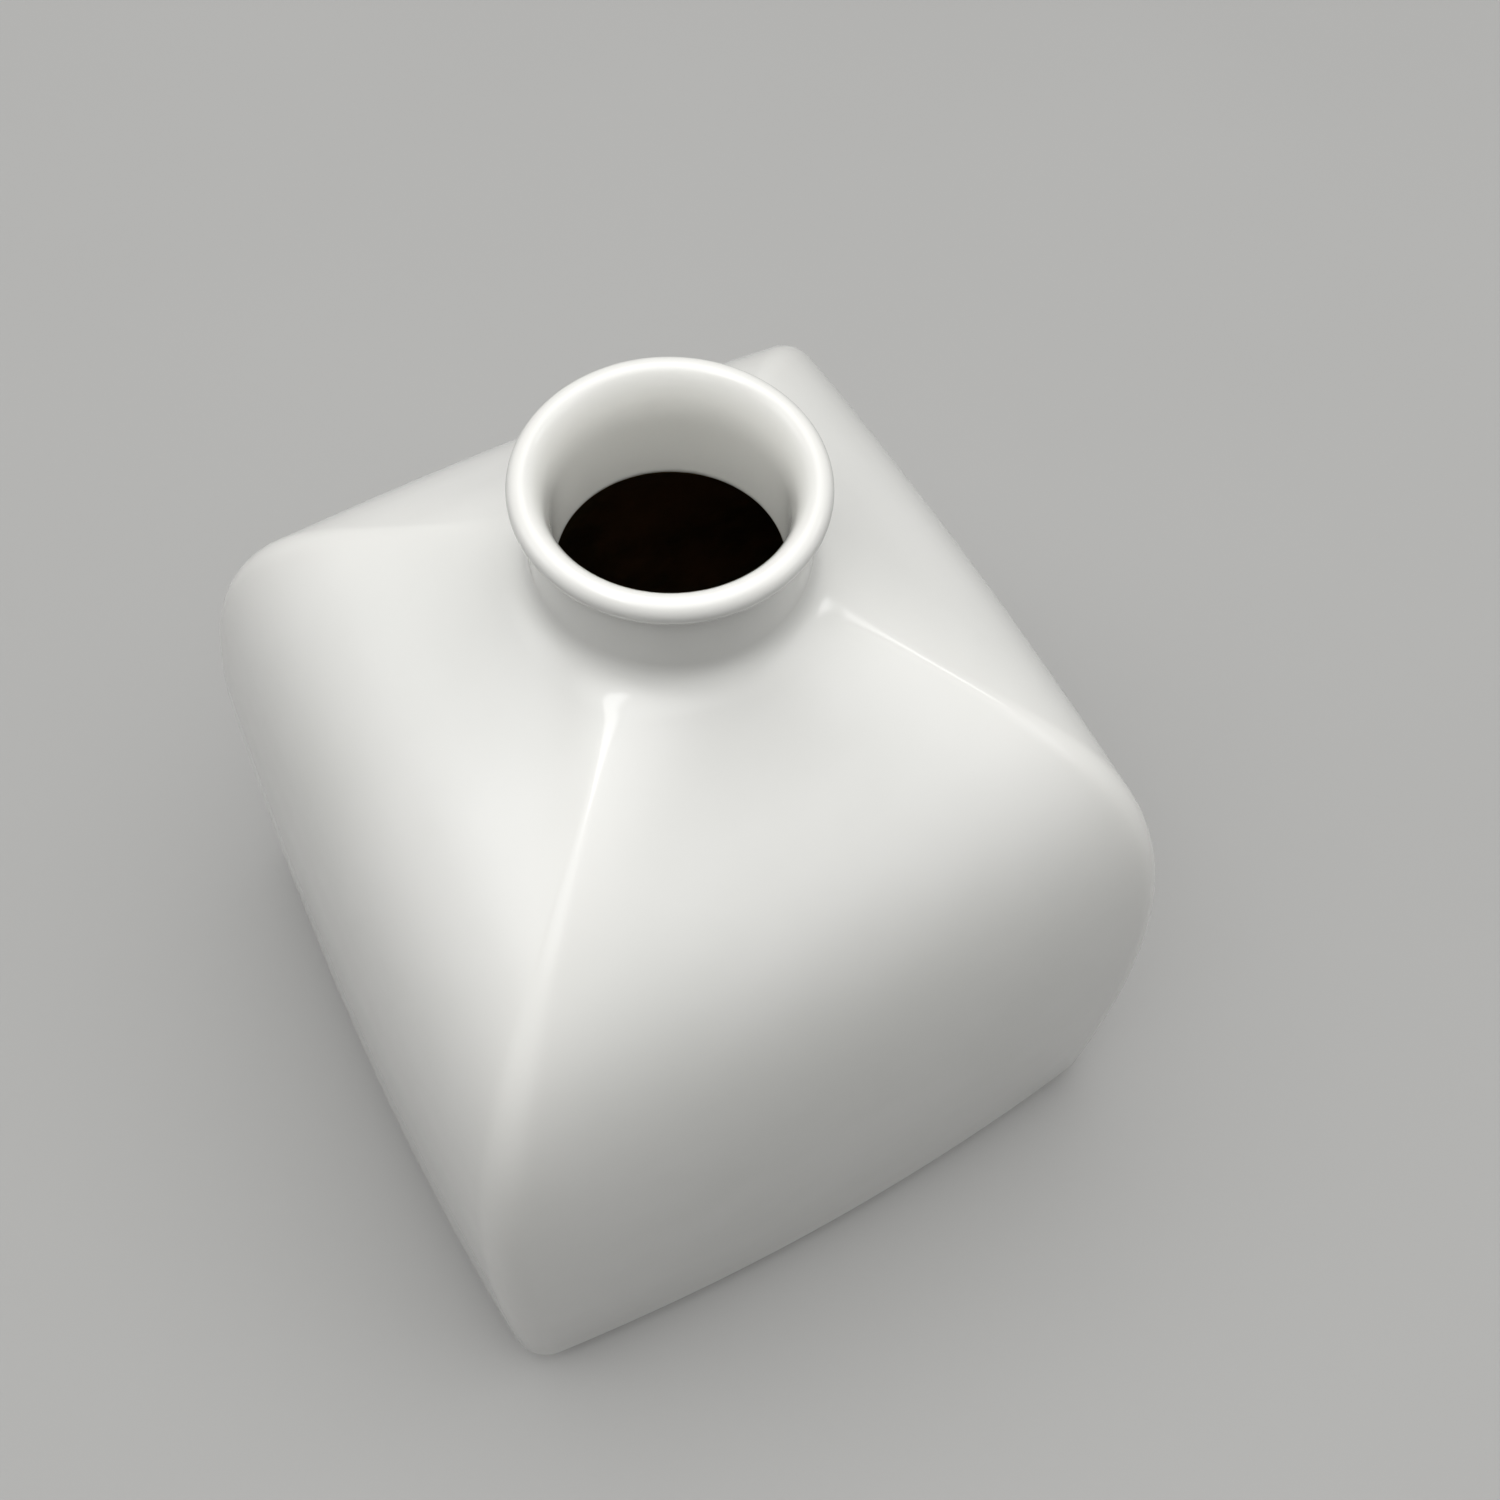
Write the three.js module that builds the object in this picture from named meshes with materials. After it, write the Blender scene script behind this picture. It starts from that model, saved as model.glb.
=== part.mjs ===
// Cube vase in glazed porcelain: a cushion-sided square body with four ridges that run up over
// a domed shoulder, a short round neck and a rolled lip. Millimetres, +Z up, standing on z = 0.
// It is one fired piece. The solids are the parts that a potter makes apart and joins wet with slip.
import * as THREE from 'three';

// Overall sizes
const bodyWidth = 100; // across two opposite faces at the foot of the walls, where they are widest
const vaseHeight = 120; // table to the top of the lip

// Walls and shoulder
const wallThickness = 3;
const ridgeRadius = 5.2; // rounding of the four ridges at the foot of the walls, seen from above
const shoulderRidgeRadius = 0.5; // the same rounding high on the shoulder, the sharpest place
const ridgeSoftening = 0.2; // a lower share makes the ridges grow rounder sooner below that place
const innerRidgeRadius = 1.2; // least rounding where two walls meet inside
const faceCrown = 3.1; // swell of a face's middle past its ridges, at the foot of the walls
const rollCrown = 0.7; // the same swell where the shoulder rolls over, the flattest place
const shoulderSlope = THREE.MathUtils.degToRad(41.2); // fall at the start of the ridges' curve
const rootSink = 0.8; // how far the shoulder is drawn down round the neck
const sinkRun = 0.17; // how far that reaches along the ridges' curve, as a share of it
const wallLean = THREE.MathUtils.degToRad(0.7); // draw of the walls towards the foot
const shoulderFullness = 0.883; // reach of the shoulder's curve, as a share of its run
const wallFullness = 0.902; // reach of the wall's curve, as a share of its rise

// Neck and lip
const boreRadius = 11.75;
const boreLength = 15.1; // crest of the lip to the bore's lower edge
const boreRounding = 1.5; // of that edge, where the bore opens into the body
const neckWall = 2.55;
const neckLength = 12.1; // root of the neck to the middle of the lip
const rootFlare = 1.5; // spread of the neck where it runs out into the shoulder
const rootSlope = THREE.MathUtils.degToRad(33); // fall of the shoulder there
const beadRadius = 1.5; // rounding of the lip's outer side
const lipReach = 2.35; // from the bore out to the crest of the lip
const lipDepth = 6; // from the crest down to where the bore is straight

// Floor and foot
const floorThickness = 4.5; // also the radius of the rounded lower edge
const footHeight = 1.5;
const footWidth = 6;
const footInset = 1.4; // step from the floor's lower edge in to the foot
const footRidgeRadius = 6;
const footRounding = 0.4;

const slipGap = 0.3; // joint between two luted parts

// Fineness of the facets
const halfFaceSteps = 10;
const shoulderSteps = 22;
const turnSteps = 56;
const quarterSteps = 6; // in a quarter turn of an edge or bead

// Heights and radii that follow from the sizes above
const floorBottom = footHeight + slipGap;
const floorTop = floorBottom + floorThickness;
const wallFoot = floorTop + slipGap;
const lipHeight = vaseHeight - beadRadius;
const rootHeight = lipHeight - neckLength;
const crestRadius = boreRadius + lipReach;
const neckRadius = boreRadius + neckWall;
const rootRadius = neckRadius + rootFlare;
const footFace = bodyWidth / 2;

const whiteGlaze = { color: 0xe9e8e2, roughness: 0.12, metalness: 0 };
const bareClay = { color: 0xd8cdbb, roughness: 0.85, metalness: 0 };

const vase = new THREE.Group();

function addPart(name, geometry, finish) {
  const part = new THREE.Mesh(geometry, new THREE.MeshStandardMaterial(finish));
  part.name = name;
  vase.add(part);
}

// Polar radius of a rounded square with swelling sides, at an angle from the middle of a face.
// Each side is an arc, and a smaller arc of the corner's radius runs into two of them.
function sectionRadius({ face, crown, corner }, angle) {
  const halfSide = face - crown;
  const sideRadius = (halfSide * halfSide + crown * crown) / (2 * crown);
  const sideCentre = face - sideRadius;
  const reach = sideRadius - corner;
  const cornerCentre = (sideCentre + Math.sqrt(2 * reach * reach - sideCentre * sideCentre)) / 2;
  const stretch = sideRadius / reach;
  const meetX = sideCentre + (cornerCentre - sideCentre) * stretch;
  const meetAngle = Math.atan2(cornerCentre * stretch, meetX);
  if (angle < meetAngle) {
    const offset = sideCentre * Math.sin(angle);
    return sideCentre * Math.cos(angle) + Math.sqrt(sideRadius * sideRadius - offset * offset);
  }
  const fromRidge = Math.PI / 4 - angle;
  const cornerReach = Math.SQRT2 * cornerCentre;
  const offset = cornerReach * Math.sin(fromRidge);
  return cornerReach * Math.cos(fromRidge) + Math.sqrt(corner * corner - offset * offset);
}

// One level ring of points, closest together at the four ridges
function sectionRing(section) {
  const ring = [];
  for (let side = 0; side < 4; side += 1) {
    for (let step = -halfFaceSteps; step < halfFaceSteps; step += 1) {
      const fromRidge = 1 - Math.abs(step) / halfFaceSteps;
      const angle = (Math.PI / 4) * (1 - fromRidge * fromRidge);
      const turn = (side * Math.PI) / 2 + Math.sign(step) * angle;
      const radius = sectionRadius(section, angle);
      ring.push(new THREE.Vector3(radius * Math.cos(turn), radius * Math.sin(turn), section.height));
    }
  }
  return ring;
}

// A skin over sections listed from the top of the outside downwards. It closes back on its first
// section, as a shell does, or gets a flat cap on its first and last one.
function loft(sections, capped) {
  const rings = sections.map(sectionRing);
  const count = rings[0].length;
  const corners = rings.flat();
  const triangles = [];
  const bands = capped ? rings.length - 1 : rings.length;
  for (let band = 0; band < bands; band += 1) {
    const upper = band * count;
    const lower = ((band + 1) % rings.length) * count;
    for (let here = 0; here < count; here += 1) {
      const next = (here + 1) % count;
      triangles.push(upper + here, lower + here, upper + next);
      triangles.push(upper + next, lower + here, lower + next);
    }
  }
  if (capped) {
    const topCentre = corners.push(new THREE.Vector3(0, 0, sections[0].height)) - 1;
    const bottomCentre = corners.push(new THREE.Vector3(0, 0, sections.at(-1).height)) - 1;
    const lowest = (rings.length - 1) * count;
    for (let here = 0; here < count; here += 1) {
      const next = (here + 1) % count;
      triangles.push(topCentre, here, next);
      triangles.push(bottomCentre, lowest + next, lowest + here);
    }
  }
  const geometry = new THREE.BufferGeometry().setFromPoints(corners);
  geometry.setIndex(triangles);
  geometry.computeVertexNormals();
  return geometry;
}

// A turned ring from its outline, which goes up the outside and down the bore
function turned(outline) {
  const geometry = new THREE.LatheGeometry([...outline, outline[0]], turnSteps);
  return geometry.rotateX(Math.PI / 2);
}

function arcPoints(centre, radius, from, to) {
  const arc = new THREE.EllipseCurve(centre.x, centre.y, radius, radius, from, to, to < from);
  const steps = Math.ceil((quarterSteps * Math.abs(to - from)) / (Math.PI / 2));
  return arc.getPoints(steps);
}

// The ridge's curve, as half a side across and a height: down the shoulder and then the wall
const rootPoint = new THREE.Vector2(rootRadius / Math.SQRT2, rootHeight + rootSink);
const footPoint = new THREE.Vector2(footFace - faceCrown, wallFoot);
const shoulderReach = shoulderFullness * (footPoint.x - rootPoint.x);
const wallReach = wallFullness * (rootPoint.y - wallFoot);
const shoulderFall = new THREE.Vector2(Math.cos(shoulderSlope), -Math.sin(shoulderSlope));
const wallRise = new THREE.Vector2(Math.sin(wallLean), Math.cos(wallLean));
const ridge = new THREE.CubicBezierCurve(
  rootPoint,
  rootPoint.clone().addScaledVector(shoulderFall, shoulderReach),
  footPoint.clone().addScaledVector(wallRise, wallReach),
  footPoint,
);

// The face's swell makes the section round at the neck, fades over the shoulder and comes back
function crownAt(along) {
  const roundCrown = rootRadius - rootPoint.x;
  const fromNeck = (1 - along) ** 4;
  const toFoot = along ** 3;
  return rollCrown + (roundCrown - rollCrown) * fromNeck + (faceCrown - rollCrown) * toFoot;
}

// The ridges rise out of the round neck, are sharpest on the shoulder and soften down the walls
function ridgeRadiusAt(along) {
  const neckRidgeRadius = 0.8 * rootRadius;
  const fromNeck = (neckRidgeRadius - shoulderRidgeRadius) * (1 - along) ** 36;
  const softened = along ** 2 / (along ** 2 + ridgeSoftening * (1 - along ** 2));
  const toFoot = (ridgeRadius - shoulderRidgeRadius) * softened;
  return shoulderRidgeRadius + fromNeck + toFoot;
}

function outerSection(along) {
  const point = ridge.getPoint(along);
  const crown = crownAt(along);
  const sink = rootSink * Math.max(1 - along / sinkRun, 0) ** 3;
  return { face: point.x + crown, crown, corner: ridgeRadiusAt(along), height: point.y - sink };
}

// Direction square to the middle of a face, out of the wall
function wallNormal(along) {
  const nearby = 0.001;
  const above = outerSection(Math.max(along - nearby, 0));
  const below = outerSection(Math.min(along + nearby, 1));
  return new THREE.Vector2(above.height - below.height, below.face - above.face).normalize();
}

// The section on the inside of the wall: the same shape, drawn in square to the face
function innerSection(along) {
  const outer = outerSection(along);
  const inward = wallNormal(along).multiplyScalar(wallThickness);
  const face = outer.face - inward.x;
  return {
    face,
    crown: (outer.crown * face) / outer.face,
    corner: Math.max(outer.corner - wallThickness, innerRidgeRadius),
    height: Math.max(outer.height - inward.y, wallFoot),
  };
}

// Body: walls and domed shoulder in one hollow shell, open at the neck and at the floor.
// Its sections are closest together at the neck.
function bodyShell() {
  const stations = Array.from({ length: shoulderSteps + 1 }, (_, step) => (step / shoulderSteps) ** 1.4);
  const outside = stations.map(outerSection);
  const inside = stations.map(innerSection).reverse();
  return loft([...outside, ...inside], false);
}

// Where the bead of the lip comes round to the outside of the neck
const seatAngle = -Math.acos((neckRadius - crestRadius) / beadRadius);
const seatHeight = lipHeight + beadRadius * Math.sin(seatAngle);

// The inside of the lip, from one height down to another: it closes in from the crest to the bore
const boreTop = vaseHeight - lipDepth;
function lipInside(upper, lower) {
  const angleAt = (height) => Math.PI - Math.asin((height - boreTop) / lipDepth);
  const curve = new THREE.EllipseCurve(
    crestRadius, boreTop, lipReach, lipDepth, angleAt(upper), angleAt(lower),
  );
  return curve.getPoints(quarterSteps);
}

// Lip: round outside, over a flat seat, and drawn out into the bore inside
function lipRing() {
  const crest = new THREE.Vector2(crestRadius, lipHeight);
  const bead = arcPoints(crest, beadRadius, seatAngle, Math.PI / 2);
  return turned([...bead, ...lipInside(vaseHeight, seatHeight).slice(1)]);
}

// Neck: a short collar that flares into the shoulder and stands square on the shell's upper edge
function neckCollar() {
  const flareTurn = Math.PI / 2 - rootSlope;
  const flareRadius = rootFlare / (1 - Math.cos(flareTurn));
  const flareCentre = new THREE.Vector2(
    neckRadius + flareRadius,
    rootHeight + flareRadius * Math.sin(flareTurn),
  );
  const inward = wallNormal(0).multiplyScalar(-wallThickness);
  const clearOfShell = new THREE.Vector2(-Math.cos(rootSlope), Math.sin(rootSlope)).multiplyScalar(slipGap);
  const flare = arcPoints(flareCentre, flareRadius, Math.PI + flareTurn, Math.PI);
  const outerRoot = flare.shift().add(clearOfShell);
  const innerRoot = new THREE.Vector2(rootRadius, rootHeight).add(inward).add(clearOfShell);
  const neckTop = seatHeight - slipGap;
  const roundingCentre = new THREE.Vector2(
    boreRadius + boreRounding,
    vaseHeight - boreLength + boreRounding,
  );
  return turned([
    outerRoot,
    ...flare.filter((point) => point.y > outerRoot.y),
    new THREE.Vector2(neckRadius, neckTop),
    ...lipInside(neckTop, boreTop),
    ...arcPoints(roundingCentre, boreRounding, Math.PI, Math.PI * 1.5),
    innerRoot,
  ]);
}

// The section of the floor's lower edge, drawn in by an amount, at a height
function drawnIn(inset, corner, height) {
  const face = footFace - inset;
  return { face, crown: (faceCrown * face) / footFace, corner, height };
}

// Floor: a slab under the walls whose edge rounds away to its underside
function floorSlab() {
  const sections = [];
  for (let step = 0; step <= quarterSteps; step += 1) {
    const turn = (step / quarterSteps) * (Math.PI / 2);
    const inset = floorThickness * (1 - Math.cos(turn));
    const corner = Math.max(ridgeRadius - inset, innerRidgeRadius);
    sections.push(drawnIn(inset, corner, floorTop - floorThickness * Math.sin(turn)));
  }
  return loft(sections, true);
}

// Foot: a low bare ring on which the vase stands
function footRing() {
  const outside = floorThickness + footInset;
  const inside = outside + footWidth;
  const innerCorner = Math.max(footRidgeRadius - footWidth, innerRidgeRadius);
  return loft([
    drawnIn(outside, footRidgeRadius, footHeight),
    drawnIn(outside, footRidgeRadius, footRounding),
    drawnIn(outside + footRounding, footRidgeRadius - footRounding, 0),
    drawnIn(inside - footRounding, innerCorner + footRounding, 0),
    drawnIn(inside, innerCorner, footRounding),
    drawnIn(inside, innerCorner, footHeight),
  ], false);
}

addPart('lip_ring', lipRing(), whiteGlaze);
addPart('neck_collar', neckCollar(), whiteGlaze);
addPart('body_shell', bodyShell(), whiteGlaze);
addPart('floor_slab', floorSlab(), whiteGlaze);
addPart('foot_ring', footRing(), bareClay);

export default vase;
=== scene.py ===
import functools
import math

import bpy
import numpy as np
from mathutils import Matrix, Vector


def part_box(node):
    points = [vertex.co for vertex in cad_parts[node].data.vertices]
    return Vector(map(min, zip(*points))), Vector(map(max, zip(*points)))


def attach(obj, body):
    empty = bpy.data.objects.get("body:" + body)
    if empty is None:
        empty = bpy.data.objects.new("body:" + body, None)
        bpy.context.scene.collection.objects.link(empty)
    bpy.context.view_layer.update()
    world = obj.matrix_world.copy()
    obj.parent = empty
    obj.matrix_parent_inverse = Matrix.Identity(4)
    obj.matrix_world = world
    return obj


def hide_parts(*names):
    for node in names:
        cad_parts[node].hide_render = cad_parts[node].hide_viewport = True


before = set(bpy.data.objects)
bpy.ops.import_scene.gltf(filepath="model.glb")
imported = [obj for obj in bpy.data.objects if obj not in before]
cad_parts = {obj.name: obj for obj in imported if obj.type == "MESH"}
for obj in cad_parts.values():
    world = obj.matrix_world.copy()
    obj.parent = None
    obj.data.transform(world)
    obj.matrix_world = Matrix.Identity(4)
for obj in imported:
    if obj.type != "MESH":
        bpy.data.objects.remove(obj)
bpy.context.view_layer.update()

mm = 0.001
scene = bpy.context.scene
print("vase: frame loaded with", len(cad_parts), "parts")

shellLow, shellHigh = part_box("body_shell")
slabLow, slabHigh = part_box("floor_slab")
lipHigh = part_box("lip_ring")[1]
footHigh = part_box("foot_ring")[1]


# node helpers, for Geometry Nodes, materials and lamps
def addNode(tree, kind, **settings):
    node = tree.nodes.new(kind)
    for name, value in settings.items():
        setattr(node, name, value)
    return node


def feed(tree, socket, value):              # a socket is linked, a plain value is set
    if isinstance(value, bpy.types.NodeSocket):
        tree.links.new(value, socket)
    else:
        socket.default_value = value


def calc(tree, operation, *values):
    node = addNode(tree, "ShaderNodeMath", operation=operation)
    for socket, value in zip(node.inputs, values):
        feed(tree, socket, value)
    return node.outputs[0]


def sums(tree, *operations):                # short calls for the Math nodes of one tree
    return [functools.partial(calc, tree, operation) for operation in operations]


# the white glaze: a clear coat over a white fired body, a little wavy, thinner on every edge
# each noise is (scale per metre, detail)
glaze = {
    "thick": (0.775, 0.775, 0.745, 1),      # where the glaze lies deep
    "plain": (0.815, 0.812, 0.785, 1),
    "clouds": (38.0, 3.0),                  # between those two
    "edge": (0.795, 0.785, 0.75, 1),        # the body shows through on the ridges and the lip
    "edgeShare": 0.5,
    "bore": (0.95, 0.945, 0.9, 1),          # painted light: a whiter glaze inside the neck, for the bright bore
    "bodyRoughness": 0.42,
    "bodyGloss": 0.2,
    "coatRoughness": 0.05,
    "coatIor": 1.5,
    "waves": (55.0, 2.0),
    "waveDepth": 0.05 * mm,
    "peel": (900.0, 2.0),                   # the fine orange peel of a fired glaze
    "peelDepth": 0.004 * mm,
}

# the foot: bare clay below an uneven line, glaze above it
clay = {
    "dark": (0.50, 0.41, 0.30, 1),
    "light": (0.72, 0.64, 0.53, 1),
    "blotches": (120.0, 5.0),
    "grain": (1500.0, 3.0),
    "grainDepth": 0.05 * mm,
    "specks": (0.35, 0.55),                 # the part of the grain over which light specks come up
    "speckShare": 0.5,
    "roughness": (0.72, 0.95),
    "glazedRoughness": 0.12,
    "glazeLine": 1.05 * mm,                 # the height of the line
    "lineBlur": 0.05 * mm,
    "lineWander": 0.5 * mm,
    "wander": (170.0, 4.0),
}

# the lining inside the body: dark brown, with streaks
lining = {
    "dark": (0.1, 0.068, 0.022, 1),
    "light": (0.32, 0.175, 0.068, 1),
    "streaks": (60.0, 4.0),
    "roughness": (0.35, 0.6),
}
noiseMiddle = (0.3, 0.7)                    # most of a noise lies between these
noiseRange = (0.2, 0.8)                     # and nearly all of it between these


def startMaterial(name):
    material = bpy.data.materials.new(name)
    material.use_nodes = True
    tree = material.node_tree
    place = addNode(tree, "ShaderNodeTexCoord").outputs["Object"]
    return material, tree, tree.nodes["Principled BSDF"], place


def setShader(tree, shader, values):
    for name, value in values.items():
        feed(tree, shader.inputs[name], value)


def noise(tree, place, scale, detail):
    node = addNode(tree, "ShaderNodeTexNoise")
    feed(tree, node.inputs["Vector"], place)
    feed(tree, node.inputs["Scale"], scale)
    feed(tree, node.inputs["Detail"], detail)
    return node.outputs["Fac"]


def spread(tree, value, low, high, toLow=0.0, toHigh=1.0):
    node = addNode(tree, "ShaderNodeMapRange", interpolation_type="SMOOTHSTEP")
    for socket, part in zip(node.inputs, (value, low, high, toLow, toHigh)):
        feed(tree, socket, part)
    return node.outputs["Result"]


def colourSockets(sockets):                 # a Mix node has sockets of other kinds under the same names
    return [socket for socket in sockets if socket.type == "RGBA"]


def mixColour(tree, share, first, second):
    node = addNode(tree, "ShaderNodeMix", data_type="RGBA")
    feed(tree, node.inputs["Factor"], share)
    for socket, colour in zip(colourSockets(node.inputs), (first, second)):
        feed(tree, socket, colour)
    return colourSockets(node.outputs)[0]


def bump(tree, height, depth, under=None):
    node = addNode(tree, "ShaderNodeBump")
    feed(tree, node.inputs["Strength"], 1.0)
    feed(tree, node.inputs["Distance"], depth)
    feed(tree, node.inputs["Height"], height)
    if under:
        feed(tree, node.inputs["Normal"], under)
    return node.outputs["Normal"]


def stored(tree, name):                     # a share that the lathe left on the mesh
    return addNode(tree, "ShaderNodeAttribute", attribute_name=name).outputs["Fac"]


def glazeColour(tree, place):
    clouds = spread(tree, noise(tree, place, *glaze["clouds"]), *noiseMiddle)
    white = mixColour(tree, clouds, glaze["thick"], glaze["plain"])
    thin = calc(tree, "MULTIPLY", stored(tree, "thin"), glaze["edgeShare"])
    white = mixColour(tree, thin, white, glaze["edge"])
    # inside the neck the glaze is painted whiter, as painted light for the bright bore
    return mixColour(tree, stored(tree, "paintedBoreLight"), white, glaze["bore"])


def glazeNormal(tree, place):
    waves = bump(tree, noise(tree, place, *glaze["waves"]), glaze["waveDepth"])
    return bump(tree, noise(tree, place, *glaze["peel"]), glaze["peelDepth"], waves)


def makeGlaze():
    material, tree, shader, place = startMaterial("whiteGlaze")
    normal = glazeNormal(tree, place)
    setShader(tree, shader, {
        "Base Color": glazeColour(tree, place),
        "Normal": normal,
        "Coat Normal": normal,
        "Roughness": glaze["bodyRoughness"],
        "Specular IOR Level": glaze["bodyGloss"],
        "Coat Weight": 1.0,
        "Coat Roughness": glaze["coatRoughness"],
        "Coat IOR": glaze["coatIor"],
    })
    return material


def makeClay():
    material, tree, shader, place = startMaterial("bareClay")
    plus, minus, times = sums(tree, "ADD", "SUBTRACT", "MULTIPLY")
    split = addNode(tree, "ShaderNodeSeparateXYZ")
    feed(tree, split.inputs[0], place)
    wander = minus(noise(tree, place, *clay["wander"]), 0.5)        # evenly up and down
    level = plus(split.outputs["Z"], times(wander, clay["lineWander"]))
    line, blur = clay["glazeLine"], clay["lineBlur"]
    glazed = spread(tree, level, line - blur, line + blur)
    blotches = spread(tree, noise(tree, place, *clay["blotches"]), *noiseMiddle)
    grain = noise(tree, place, *clay["grain"])
    specks = spread(tree, grain, *clay["specks"], 0.0, clay["speckShare"])
    fired = mixColour(tree, blotches, clay["dark"], clay["light"])
    fired = mixColour(tree, specks, fired, clay["light"])
    rough = spread(tree, grain, *noiseRange, *clay["roughness"])
    smoother = times(minus(rough, clay["glazedRoughness"]), glazed)
    relief = times(grain, minus(1.0, glazed))
    setShader(tree, shader, {
        "Base Color": mixColour(tree, glazed, fired, glazeColour(tree, place)),
        "Roughness": minus(rough, smoother),
        "Normal": bump(tree, relief, clay["grainDepth"]),
    })
    return material


def makeInside():
    material, tree, shader, place = startMaterial("darkInside")
    streaks = spread(tree, noise(tree, place, *lining["streaks"]), *noiseMiddle)
    low, high = lining["roughness"]
    setShader(tree, shader, {
        "Base Color": mixColour(tree, streaks, lining["dark"], lining["light"]),
        "Roughness": spread(tree, streaks, 0.0, 1.0, high, low),
        "Normal": glazeNormal(tree, place),
    })
    return material


whiteGlaze = makeGlaze()
bareClay = makeClay()
darkInside = makeInside()
print("vase: glaze, clay and inside mixed")


# the square lathe: it carries a profile round the axis, with level sections that go from round to square
lathe = {
    "Half Face Steps": 32,                  # columns from a face's middle to a ridge
    "Ridge Crowding": 2.0,                  # above 1 gathers the columns at the ridges
    "Edge Width": 5.0 * mm,                 # how far the thin glaze reaches from a ridge
    "Lining From": 0.6,                     # faces with a larger inside share get the lining
    "Weld": 0.002 * mm,
}
sharpAngle = math.radians(50)               # edges that turn more than this are shaded sharp
roundHalf = math.sqrt(0.5)                  # a circle's inscribed square, as a share of its radius
roundShare = 1 - roundHalf                  # and the circle's swell past it


def sectionRadius(tree, angle, face, crown, corner):
    plus, minus, times, over = sums(tree, "ADD", "SUBTRACT", "MULTIPLY", "DIVIDE")

    def square(value):
        return times(value, value)

    def arc(centre, radius, turn):          # how far out an arc is in one direction
        ahead = times(centre, calc(tree, "COSINE", turn))
        aside = times(centre, calc(tree, "SINE", turn))
        return plus(ahead, calc(tree, "SQRT", minus(square(radius), square(aside))))

    half = minus(face, crown)
    side = over(plus(square(half), square(crown)), times(crown, 2.0))       # the swelling side's arc
    sideAt = minus(face, side)
    reach = minus(side, corner)
    inner = calc(tree, "SQRT", minus(times(square(reach), 2.0), square(sideAt)))
    cornerAt = times(plus(sideAt, inner), 0.5)                              # the ridge's arc
    stretch = over(side, reach)
    across = times(cornerAt, stretch)
    along = times(minus(cornerAt, sideAt), stretch)
    meeting = calc(tree, "ARCTAN2", across, plus(sideAt, along))            # where they meet
    fromRidge = minus(math.pi / 4, angle)
    pick = addNode(tree, "GeometryNodeSwitch", input_type="FLOAT")
    feed(tree, pick.inputs["Switch"], calc(tree, "GREATER_THAN", angle, meeting))
    feed(tree, pick.inputs["False"], arc(sideAt, side, angle))
    feed(tree, pick.inputs["True"], arc(times(cornerAt, math.sqrt(2)), corner, fromRidge))
    return pick.outputs[0], fromRidge


def latheSockets(tree):
    def add(name, kind, way="INPUT"):
        tree.interface.new_socket(name, in_out=way, socket_type="NodeSocket" + kind)

    add("Profile", "Geometry")
    for name, value in lathe.items():
        add(name, "Int" if isinstance(value, int) else "Float")
    add("Outside", "Material")
    add("Inside", "Material")
    add("Piece", "Geometry", "OUTPUT")


def geometryStep(tree, kind, shape, values, **settings):
    node = addNode(tree, kind, **settings)
    feed(tree, node.inputs["Geometry"], shape)
    for name, value in values.items():
        feed(tree, node.inputs[name], value)
    return node.outputs[0]


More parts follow.
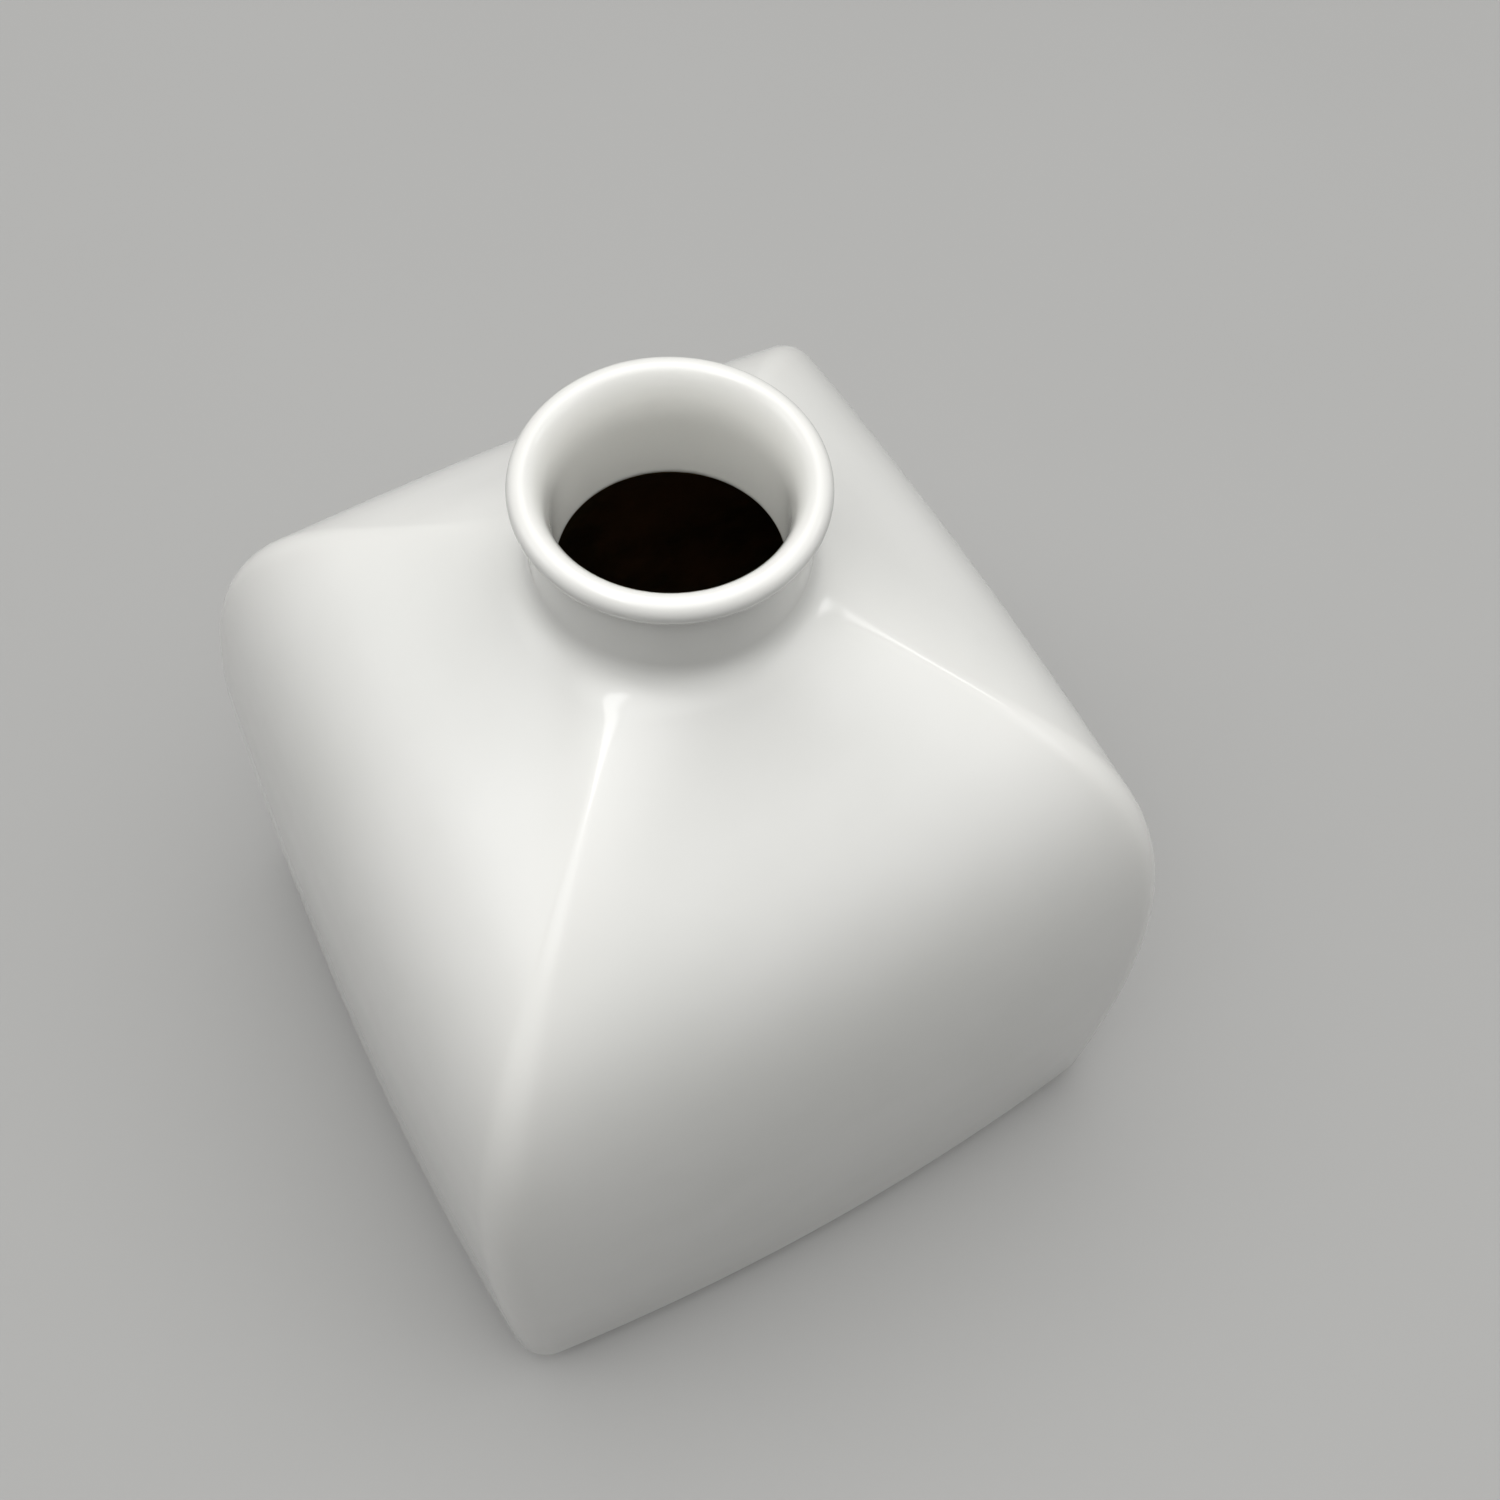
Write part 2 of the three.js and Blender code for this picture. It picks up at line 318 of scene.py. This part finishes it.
def buildLathe():
    tree = bpy.data.node_groups.new("squareLathe", "GeometryNodeTree")
    plus, minus, times, over = sums(tree, "ADD", "SUBTRACT", "MULTIPLY", "DIVIDE")
    latheSockets(tree)
    given = addNode(tree, "NodeGroupInput").outputs
    result = addNode(tree, "NodeGroupOutput").inputs
    position = addNode(tree, "GeometryNodeInputPosition").outputs[0]
    split = addNode(tree, "ShaderNodeSeparateXYZ")
    feed(tree, split.inputs[0], position)

    # one grid column for each direction round the axis, one grid row for each profile point
    count = addNode(tree, "GeometryNodeAttributeDomainSize", component="MESH")
    feed(tree, count.inputs[0], given["Profile"])
    rows = count.outputs["Point Count"]
    halfSteps = given["Half Face Steps"]
    perFace = times(halfSteps, 2.0)
    lastColumn = times(perFace, 4.0)
    lastRow = minus(rows, 1.0)
    grid = addNode(tree, "GeometryNodeMeshGrid")
    feed(tree, grid.inputs["Size X"], 1.0)
    feed(tree, grid.inputs["Size Y"], 1.0)
    feed(tree, grid.inputs["Vertices X"], plus(lastColumn, 1.0))
    feed(tree, grid.inputs["Vertices Y"], rows)
    column = calc(tree, "ROUND", times(plus(split.outputs["X"], 0.5), lastColumn))
    row = calc(tree, "ROUND", times(plus(split.outputs["Y"], 0.5), lastRow))

    # the direction: four faces, each counted from its middle to the ridges on both sides
    quarter = calc(tree, "FLOOR", over(column, perFace))
    step = minus(calc(tree, "MODULO", column, perFace), halfSteps)
    share = over(calc(tree, "ABSOLUTE", step), halfSteps)
    crowded = calc(tree, "POWER", minus(1.0, share), given["Ridge Crowding"])
    angle = times(minus(1.0, crowded), math.pi / 4)
    turn = plus(times(quarter, math.pi / 2), times(angle, calc(tree, "SIGN", step)))

    def named(name):
        node = addNode(tree, "GeometryNodeInputNamedAttribute", data_type="FLOAT")
        feed(tree, node.inputs["Name"], name)
        return node.outputs["Attribute"]

    def fromProfile(value):
        return geometryStep(tree, "GeometryNodeSampleIndex", given["Profile"],
                            {"Value": value, "Index": row}, data_type="FLOAT", domain="POINT")

    face = fromProfile(split.outputs["X"])
    crown = fromProfile(named("crown"))
    radius, fromRidge = sectionRadius(tree, angle, face, crown, fromProfile(named("corner")))

    # the glaze is thin on the lip and, where the section is square, along the ridges
    roundness = over(crown, times(face, roundShare))
    squareness = calc(tree, "MAXIMUM", minus(1.0, roundness), 0.0)
    away = over(times(radius, fromRidge), given["Edge Width"])
    near = calc(tree, "EXPONENT", times(times(away, away), -1.0))
    thin = calc(tree, "MAXIMUM", times(near, squareness), fromProfile(named("thin")))
    # the share of painted light in the bore is carried over from the profile as well
    shares = {"thin": thin, "inside": fromProfile(named("inside")), "paintedBoreLight": fromProfile(named("paintedBoreLight"))}

    place = addNode(tree, "ShaderNodeCombineXYZ")
    feed(tree, place.inputs["X"], times(radius, calc(tree, "COSINE", turn)))
    feed(tree, place.inputs["Y"], times(radius, calc(tree, "SINE", turn)))
    feed(tree, place.inputs["Z"], fromProfile(split.outputs["Z"]))
    shape = grid.outputs["Mesh"]
    for name, value in shares.items():
        shape = geometryStep(tree, "GeometryNodeStoreNamedAttribute", shape,
                             {"Name": name, "Value": value}, data_type="FLOAT", domain="POINT")
    shape = geometryStep(tree, "GeometryNodeSetPosition", shape, {"Position": place.outputs[0]})
    shape = geometryStep(tree, "GeometryNodeMergeByDistance", shape, {"Distance": given["Weld"]})
    shape = geometryStep(tree, "GeometryNodeSetShadeSmooth", shape, {})
    shape = geometryStep(tree, "GeometryNodeRealizeInstances", shape, {})
    shape = geometryStep(tree, "GeometryNodeSetMaterial", shape, {"Material": given["Outside"]})
    lined = calc(tree, "GREATER_THAN", named("inside"), given["Lining From"])
    shape = geometryStep(tree, "GeometryNodeSetMaterial", shape,
                         {"Selection": lined, "Material": given["Inside"]})
    feed(tree, result["Piece"], shape)
    return tree


squareLathe = buildLathe()
latheInputs = {item.name: item.identifier
               for item in squareLathe.interface.items_tree if item.in_out == "INPUT"}
print("vase: square lathe ready")


# a profile row is (face, half side, height, corner, inside, thin, paintedBoreLight); the last is the
# share of painted light
# rows run up the outside and down the inside
roundCorner = 0.2                           # any share of the radius gives the same round


def rounds(radius, height, thin=0.0, paintedBoreLight=0.0):
    return (radius, radius * roundHalf, height, radius * roundCorner, 0.0, thin, paintedBoreLight)


def arcRounds(centre, radius, start, end, steps, paintedBoreLight=0.0):
    turns = np.radians(np.linspace(start, end, steps + 1))
    return [rounds(centre[0] + radius * math.cos(a), centre[1] + radius * math.sin(a), paintedBoreLight=paintedBoreLight)
            for a in turns]


def squareRows(points, inside=0.0):
    return [(*point, inside, 0.0, 0.0) for point in points]


def profileMesh(name, rows):
    values = np.array(rows, float)
    points = [(row[0], 0, row[2]) for row in values]
    mesh = bpy.data.meshes.new(name)
    mesh.from_pydata(points, [(i, i + 1) for i in range(len(points) - 1)], [])
    columns = {"crown": values[:, 0] - values[:, 1], "corner": values[:, 3],
               "inside": values[:, 4], "thin": values[:, 5], "paintedBoreLight": values[:, 6]}
    for label, column in columns.items():
        attribute = mesh.attributes.new(label, "FLOAT", "POINT")
        attribute.data.foreach_set("value", column.astype(np.float32))
    return mesh


def turnPiece(name, rows, finish, node):
    piece = bpy.data.objects.new(name, profileMesh(name, rows))
    scene.collection.objects.link(piece)
    modifier = piece.modifiers.new("squareLathe", "NODES")
    modifier.node_group = squareLathe
    for label, value in (*lathe.items(), ("Outside", finish), ("Inside", darkInside)):
        modifier[latheInputs[label]] = value
    depsgraph = bpy.context.evaluated_depsgraph_get()
    turned = bpy.data.meshes.new_from_object(
        piece.evaluated_get(depsgraph), preserve_all_data_layers=True, depsgraph=depsgraph)
    piece.modifiers.clear()
    piece.data = turned
    turned.set_sharp_from_angle(angle=sharpAngle)
    turned.name = name
    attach(piece, "root")
    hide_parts(node)
    print("vase:", name, len(turned.polygons), "faces")


# the rolled lip: a bead outside, and a long curve inside that runs out into the bore
lip = {
    "beadRadius": 1.5 * mm,
    "reach": 2.35 * mm,                     # from the bore out to the crest
    "depth": 6.0 * mm,                      # from the crest down to where the bore is straight
    "beadRows": 36,
    "insideRows": 40,
    "thin": (20, 135),                      # degrees between which the glaze runs off the crest
    "paintedBoreLight": (100, 150),                     # degrees over which the painted light of the bore comes in
}
beadX = lipHigh.x - lip["beadRadius"]
beadZ = lipHigh.z - lip["beadRadius"]
boreRadius = beadX - lip["reach"]
boreTop = lipHigh.z - lip["depth"]
seatHeight = beadZ - lip["beadRadius"]      # the lip sits on the neck here
seatTurn = 180 - math.degrees(math.asin((seatHeight - boreTop) / lip["depth"]))

# the neck: upright, with a small cove under the bead and a flare at its root
neck = {
    "wall": 2.55 * mm,
    "cove": 0.9 * mm,
    "rootFlare": 1.5 * mm,
    "rootSlope": 33,                        # degrees below level where the neck meets the shoulder
    "boreLength": 15.1 * mm,                # from the crest of the lip
    "boreRounding": 1.5 * mm,
    "uprightRows": 10,
    "flareRows": 14,
    "coveRows": 12,
    "seatRows": 10,
    "boreRows": 16,
    "roundingRows": 12,
}
neckRadius = boreRadius + neck["wall"]
rootRadius = neckRadius + neck["rootFlare"]
rootHeight = shellHigh.z
flareTurn = 90 - neck["rootSlope"]
flareRadius = neck["rootFlare"] / (1 - math.cos(math.radians(flareTurn)))
flareTop = rootHeight + flareRadius * math.sin(math.radians(flareTurn))

coveX = neckRadius + neck["cove"]
beadToCove = lip["beadRadius"] + neck["cove"]
coveDrop = math.sqrt(beadToCove ** 2 - (coveX - beadX) ** 2)
coveCentre = (coveX, beadZ - coveDrop)
beadStart = -math.degrees(math.atan2(coveDrop, coveX - beadX))      # where the cove meets the bead


def shareOf(value, start, end):             # 0 up to the start, 1 from the end on
    return np.clip((value - start) / (end - start), 0, 1)


def lipArc(height, across, up, start, end, steps):      # 90 is on the crest, 180 at the straight bore
    rows = []
    for turn in np.linspace(start, end, steps + 1):
        a = math.radians(turn)
        thin = math.sin(math.pi * shareOf(turn, *lip["thin"]))
        rows.append(rounds(beadX + across * math.cos(a), height + up * math.sin(a),
                           thin, shareOf(turn, *lip["paintedBoreLight"])))
    return rows


lipRows = lipArc(beadZ, lip["beadRadius"], lip["beadRadius"], beadStart, 90, lip["beadRows"])
lipRows += lipArc(boreTop, lip["reach"], lip["depth"], 90, seatTurn, lip["insideRows"])[1:]
lipRows.append(lipRows[0])


# the shell: a ridge line from the neck's root over the shoulder to the foot, and sides that swell past it
shell = {
    "wall": 3.0 * mm,
    "ridgeRadius": 5.2 * mm,                # at the foot
    "shoulderRidge": 0.5 * mm,              # the sharpest place
    "rootCorner": 0.8,                      # ridge radius as a share of the round neck's
    "sharpening": 24,                       # a higher power makes the ridges sharp nearer to the neck
    "softening": 0.2,                       # a lower share makes them rounder sooner below
    "innerRidge": 1.2 * mm,
    "footCrown": 3.1 * mm,                  # the sides' swell at the foot
    "rollCrown": 0.7 * mm,                  # and at the roll of the shoulder
    "crownFade": 4,                         # powers: how the swell goes from round to the roll
    "crownGrowth": 3,                       # and from there to the foot
    "wallLean": 0.7,                        # degrees
    "shoulderSlope": 41.2,                  # degrees, at the start of the ridges' curve
    "shoulderFullness": 0.883,
    "wallFullness": 0.902,
    "rootSink": 0.8 * mm,                   # the shoulder is drawn down round the neck
    "sinkRun": 0.17,                        # how far along the ridges
    "sinkFade": 3,                          # a power too
    "blendFrom": 0.7,                       # from this far down the neck's flare
    "blendTo": 0.03,                        # to this far along the ridges, one gives way to the other
    "blendRows": 28,
    "outerRows": 100,
    "rowCrowding": 1.25,                    # above 1 gathers the rows at the neck
    "innerRows": 30,
}
footFace = shellHigh.x
wallFoot = shellLow.z
rootHalf = rootRadius * roundHalf
footHalf = footFace - shell["footCrown"]
startHeight = rootHeight + shell["rootSink"]
slope = math.radians(shell["shoulderSlope"])
lean = math.radians(shell["wallLean"])
shoulderPull = shell["shoulderFullness"] * (footHalf - rootHalf)
wallPull = shell["wallFullness"] * (startHeight - wallFoot)
ridgeLine = np.array([
    (rootHalf, startHeight),
    (rootHalf + shoulderPull * math.cos(slope), startHeight - shoulderPull * math.sin(slope)),
    (footHalf + wallPull * math.sin(lean), wallFoot + wallPull * math.cos(lean)),
    (footHalf, wallFoot),
])


def shellPoint(t):                          # 0 at the neck's root, 1 at the foot
    shares = np.array([(1 - t) ** 3, 3 * t * (1 - t) ** 2, 3 * t * t * (1 - t), t ** 3])
    half, height = shares @ ridgeLine
    roll, sharp = shell["rollCrown"], shell["shoulderRidge"]
    crown = roll + (rootRadius - rootHalf - roll) * (1 - t) ** shell["crownFade"]
    crown += (shell["footCrown"] - roll) * t ** shell["crownGrowth"]
    softened = t ** 2 / (t ** 2 + shell["softening"] * (1 - t ** 2))
    corner = sharp + (shell["rootCorner"] * rootRadius - sharp) * (1 - t) ** shell["sharpening"]
    corner += (shell["ridgeRadius"] - sharp) * softened
    sink = shell["rootSink"] * max(1 - t / shell["sinkRun"], 0) ** shell["sinkFade"]
    return np.array([half + crown, half, height - sink, corner])


def flarePoint(share):                      # 0 where the neck is upright, 1 at its root
    turn = math.radians(flareTurn * share)
    radius = neckRadius + flareRadius * (1 - math.cos(turn))
    height = flareTop - flareRadius * math.sin(turn)
    return np.array([radius, radius * roundHalf, height, shell["rootCorner"] * radius])


def headingOf(curve, where, step=0.0005):
    change = curve(where + step) - curve(where - step)
    return change / math.hypot(change[0], change[2])


def blendPoints():                          # a smooth curve from the flare to the shoulder
    start, end = flarePoint(shell["blendFrom"]), shellPoint(shell["blendTo"])
    length = math.hypot(end[0] - start[0], end[2] - start[2])
    leave = headingOf(flarePoint, shell["blendFrom"]) * length
    arrive = headingOf(shellPoint, shell["blendTo"]) * length
    t = np.linspace(0, 1, shell["blendRows"] + 1)[:, None]
    return ((2 * t ** 3 - 3 * t ** 2 + 1) * start + (t ** 3 - 2 * t ** 2 + t) * leave
            + (3 * t ** 2 - 2 * t ** 3) * end + (t ** 3 - t ** 2) * arrive)


def innerPoints(points):                    # the wall's inner face, square to the outer one at mid face
    along = np.gradient(points, axis=0)
    length = np.hypot(along[:, 0], along[:, 2])
    face = points[:, 0] + shell["wall"] * along[:, 2] / length
    height = np.maximum(points[:, 2] - shell["wall"] * along[:, 0] / length, wallFoot)
    half = face * points[:, 1] / points[:, 0]
    corner = np.maximum(points[:, 3] - shell["wall"], shell["innerRidge"])
    return np.column_stack([face, half, height, corner])


blend = blendPoints()
seam = shell["blendRows"] // 2              # the neck ends and the shell starts on this row
downShares = np.linspace(0, 1, shell["outerRows"] + 1)[1:] ** shell["rowCrowding"]
shellTs = shell["blendTo"] + (1 - shell["blendTo"]) * downShares
outer = np.vstack([blend[seam:], [shellPoint(t) for t in shellTs]])     # from the neck down to the foot
inner = innerPoints(outer)
keep = np.unique(np.linspace(0, len(inner) - 1, shell["innerRows"]).round().astype(int))
shellRows = squareRows(outer[::-1]) + squareRows(inner[keep], 1.0)
shellRows.append(shellRows[0])

flare = [flarePoint(s) for s in np.linspace(shell["blendFrom"], 0, neck["flareRows"] + 1)[1:]]
upright = np.linspace(flareTop, coveCentre[1], neck["uprightRows"] + 1)[1:-1]
rounding = neck["boreRounding"]
boreFoot = (boreRadius + rounding, lipHigh.z - neck["boreLength"] + rounding)
boreHeights = np.linspace(boreTop, boreFoot[1], neck["boreRows"] + 1)[1:-1]
neckRows = squareRows(blend[seam::-1])
neckRows += [rounds(point[0], point[2]) for point in flare]
neckRows += [rounds(neckRadius, height) for height in upright]
neckRows += arcRounds(coveCentre, neck["cove"], 180, 180 + beadStart, neck["coveRows"])
neckRows += lipArc(boreTop, lip["reach"], lip["depth"], seatTurn, 180, neck["seatRows"])
# the straight bore and its rounding carry the full painted light
neckRows += [rounds(boreRadius, height, paintedBoreLight=1.0) for height in boreHeights]
neckRows += arcRounds(boreFoot, rounding, 180, 270, neck["roundingRows"], paintedBoreLight=1.0)
neckRows += squareRows(inner[:1], 1.0)
neckRows.append(neckRows[0])

turnPiece("rolled_lip", lipRows, whiteGlaze, "lip_ring")
turnPiece("flared_neck", neckRows, whiteGlaze, "neck_collar")
turnPiece("ridged_body", shellRows, whiteGlaze, "body_shell")


# the floor, with its rounded lower edge; its rows run from the pole below to the pole inside
slab = {
    "underRows": 12,
    "edgeRows": 18,
    "topRows": 16,
    "poleRadius": 0.001 * mm,               # small enough for the weld to close
    "poleCorner": 0.3,                      # the most that the ridge radius may be of a small face
}
slabBottom = slabLow.z
edgeRadius = slabHigh.z - slabLow.z
footShare = shell["footCrown"] / footFace
slabRidge = shell["ridgeRadius"]


def insetRow(inset, height, corner, inside=0.0):
    face = footFace - inset
    return (face, face * (1 - footShare), height, corner, inside, 0.0, 0.0)


def slabRow(inset, height, inside=0.0):
    corner = max(slabRidge - inset, shell["innerRidge"])
    return insetRow(inset, height, min(corner, (footFace - inset) * slab["poleCorner"]), inside)


deepest = footFace - slab["poleRadius"]
edgeTurns = np.linspace(0, math.pi / 2, slab["edgeRows"] + 1)
slabRows = [slabRow(inset, slabBottom)
            for inset in np.linspace(deepest, edgeRadius, slab["underRows"] + 1)[:-1]]
slabRows += [slabRow(edgeRadius * (1 - math.sin(a)), slabBottom + edgeRadius * (1 - math.cos(a)))
             for a in edgeTurns]
slabRows.append(slabRow(0, wallFoot))
slabRows += [slabRow(inset, wallFoot, 1.0)
             for inset in np.linspace(shell["wall"] / 2, deepest, slab["topRows"])]

# the bare foot ring under it
foot = {
    "width": 6.0 * mm,
    "ridgeRadius": 6.0 * mm,
    "edgeRounding": 0.5 * mm,
    "cove": 0.45 * mm,                      # where it meets the floor
    "arcRows": 6,
}
footOuter = footFace - footHigh.x
footInner = footOuter + foot["width"]


def footRow(inset, height):
    return insetRow(inset, height, max(foot["ridgeRadius"] - (inset - footOuter), shell["innerRidge"]))


def footEdge(inset, way, turns):
    radius = foot["edgeRounding"]
    return [footRow(inset + way * radius * (1 - math.sin(a)), radius * (1 - math.cos(a))) for a in turns]


def footCove(inset, way, turns):
    radius = foot["cove"]
    return [footRow(inset - way * radius * (1 - math.cos(a)), slabBottom - radius * (1 - math.sin(a)))
            for a in turns]


upTurns = np.linspace(0, math.pi / 2, foot["arcRows"] + 1)
downTurns = upTurns[::-1]
footRows = footEdge(footOuter, 1, upTurns) + footCove(footOuter, 1, upTurns)
footRows += footCove(footInner, -1, downTurns) + footEdge(footInner, -1, downTurns)
footRows.append(footRows[0])

turnPiece("rounded_floor", slabRows, whiteGlaze, "floor_slab")
turnPiece("bare_foot", footRows, bareClay, "foot_ring")


# stage: a pale floor that runs out into a pale backdrop
stage = {
    "floorRadius": 3.0,
    "floorSides": 96,
    "floorShown": (0.4, 0.398, 0.39, 1),
    "floorBounce": (0.06, 0.06, 0.06, 1),   # what it throws back on the vase
    "floorRoughness": 0.9,
    "floorGloss": 0.1,
    "mottle": (6.0, 4.0),
    "mottleShade": (0.97, 1.0),
    "runOut": (0.5, 1.5),                   # metres away, where the floor goes over to the backdrop
    "sky": 0.18,
    "skyShown": 0.44,
    "skyColour": (1, 1, 0.985, 1),
}

# a wide soft panel overhead, one on each side, and two small ones that draw the highlights on the ridges
# seen from the vase, in degrees and metres; "shine" is the brightness in the middle
# and "core" is how much of the way to the rim it holds
lamps = [
    {"name": "overheadPanel", "azimuth": 90, "elevation": 89, "distance": 1.4,
     "size": (3.6, 3.4), "core": 0.15, "shine": 2.7},
    {"name": "ridgePanel", "azimuth": 192, "elevation": 62.5, "distance": 1.25,
     "size": (0.62, 0.21), "core": 0.45, "shine": 3.4},
    {"name": "leftPanel", "azimuth": 150, "elevation": 28, "distance": 1.3,
     "size": (1.4, 1.1), "core": 0.1, "shine": 1.5},
    {"name": "rightPanel", "azimuth": 325, "elevation": 34, "distance": 1.3,
     "size": (1.4, 1.2), "core": 0.1, "shine": 1.1},
    {"name": "sidePanel", "azimuth": 352, "elevation": 32, "distance": 1.25,
     "size": (0.4, 0.3), "core": 0.2, "shine": 3.5},
]
lampAim = Vector((0, 0, 0.08))
panelMiddle = (0.5, 0.5, 0.0)               # in the panel's own coordinates, 0.5 from its rim
panelRim = 0.5


def shownRay(tree):                         # seen by the camera, in the gloss or through glass
    path = addNode(tree, "ShaderNodeLightPath").outputs
    seen = calc(tree, "MAXIMUM", path["Is Camera Ray"], path["Is Glossy Ray"])
    return calc(tree, "MAXIMUM", seen, path["Is Transmission Ray"])


def makeFloor():
    bpy.ops.mesh.primitive_circle_add(
        vertices=stage["floorSides"], radius=stage["floorRadius"], fill_type="NGON")
    floor = bpy.context.object
    floor.name = "paleFloor"
    material, tree, shader, place = startMaterial("paleFloor")
    minus, times = sums(tree, "SUBTRACT", "MULTIPLY")
    shown = shownRay(tree)
    away = addNode(tree, "ShaderNodeVectorMath", operation="LENGTH")
    feed(tree, away.inputs[0], place)
    far = spread(tree, away.outputs["Value"], *stage["runOut"])
    shade = spread(tree, noise(tree, place, *stage["mottle"]), *noiseRange, *stage["mottleShade"])
    colour = addNode(tree, "ShaderNodeVectorMath", operation="SCALE")
    feed(tree, colour.inputs[0], mixColour(tree, shown, stage["floorBounce"], stage["floorShown"]))
    feed(tree, colour.inputs["Scale"], times(shade, minus(1.0, far)))
    setShader(tree, shader, {
        "Base Color": colour.outputs[0],
        "Roughness": stage["floorRoughness"],
        "Specular IOR Level": stage["floorGloss"],
        "Emission Color": stage["skyColour"],
        "Emission Strength": times(times(far, shown), stage["skyShown"]),
    })
    floor.data.materials.append(material)


def makeSky():
    world = bpy.data.worlds.new("softSky")
    scene.world = world
    world.use_nodes = True
    tree = world.node_tree
    background = tree.nodes["Background"].inputs
    feed(tree, background["Color"], stage["skyColour"])
    feed(tree, background["Strength"],
         spread(tree, shownRay(tree), 0.0, 1.0, stage["sky"], stage["skyShown"]))


def makeLamp(panel):                        # it fades out towards its rim
    light = bpy.data.lights.new(panel["name"], "AREA")
    light.shape = "ELLIPSE"
    light.size, light.size_y = panel["size"]
    light.energy = panel["shine"] * math.pi * light.size * light.size_y * math.pi / 4
    light.use_nodes = True
    tree = light.node_tree
    away = addNode(tree, "ShaderNodeVectorMath", operation="DISTANCE")
    feed(tree, away.inputs[0], addNode(tree, "ShaderNodeNewGeometry").outputs["Parametric"])
    feed(tree, away.inputs[1], panelMiddle)
    fade = spread(tree, away.outputs["Value"], panel["core"] * panelRim, panelRim, 1.0, 0.0)
    feed(tree, tree.nodes["Emission"].inputs["Strength"], fade)
    lamp = bpy.data.objects.new(panel["name"], light)
    up, turn = math.radians(panel["elevation"]), math.radians(panel["azimuth"])
    out = Vector((math.cos(up) * math.cos(turn), math.cos(up) * math.sin(turn), math.sin(up)))
    lamp.location = lampAim + out * panel["distance"]
    lamp.rotation_euler = (-out).to_track_quat("-Z", "Y").to_euler()
    scene.collection.objects.link(lamp)


makeFloor()
makeSky()
for panel in lamps:
    makeLamp(panel)
print("vase: floor, sky and", len(lamps), "lamps placed")


# the camera stands where the photograph was taken
camera = {
    "focal": 1567.2,                        # in pixels of a frame 1500 wide
    "frame": 1500,
    "sensor": 36.0,
    "nearest": 10 * mm,
    "aim": (4.29 * mm, -10.78 * mm, 80.0 * mm),
    "distance": 179.35 * mm,
    "azimuth": -32.606,                     # degrees
    "elevation": 61.031,
    "roll": 4.306,
}


def makeCamera():
    data = bpy.data.cameras.new("photoCamera")
    data.sensor_width = camera["sensor"]
    data.lens = camera["sensor"] * camera["focal"] / camera["frame"]
    data.clip_start = camera["nearest"]
    viewer = bpy.data.objects.new("photoCamera", data)
    turn = (Matrix.Rotation(math.radians(camera["azimuth"]), 4, "Z")
            @ Matrix.Rotation(math.radians(90 - camera["elevation"]), 4, "X")
            @ Matrix.Rotation(math.radians(camera["roll"]), 4, "Z"))
    back = turn @ Vector((0, 0, camera["distance"]))
    viewer.matrix_world = Matrix.Translation(Vector(camera["aim"]) + back) @ turn
    scene.collection.objects.link(viewer)
    scene.camera = viewer


makeCamera()
scene.view_settings.view_transform = "Standard"
print("vase: camera set")

bpy.context.view_layer.update()
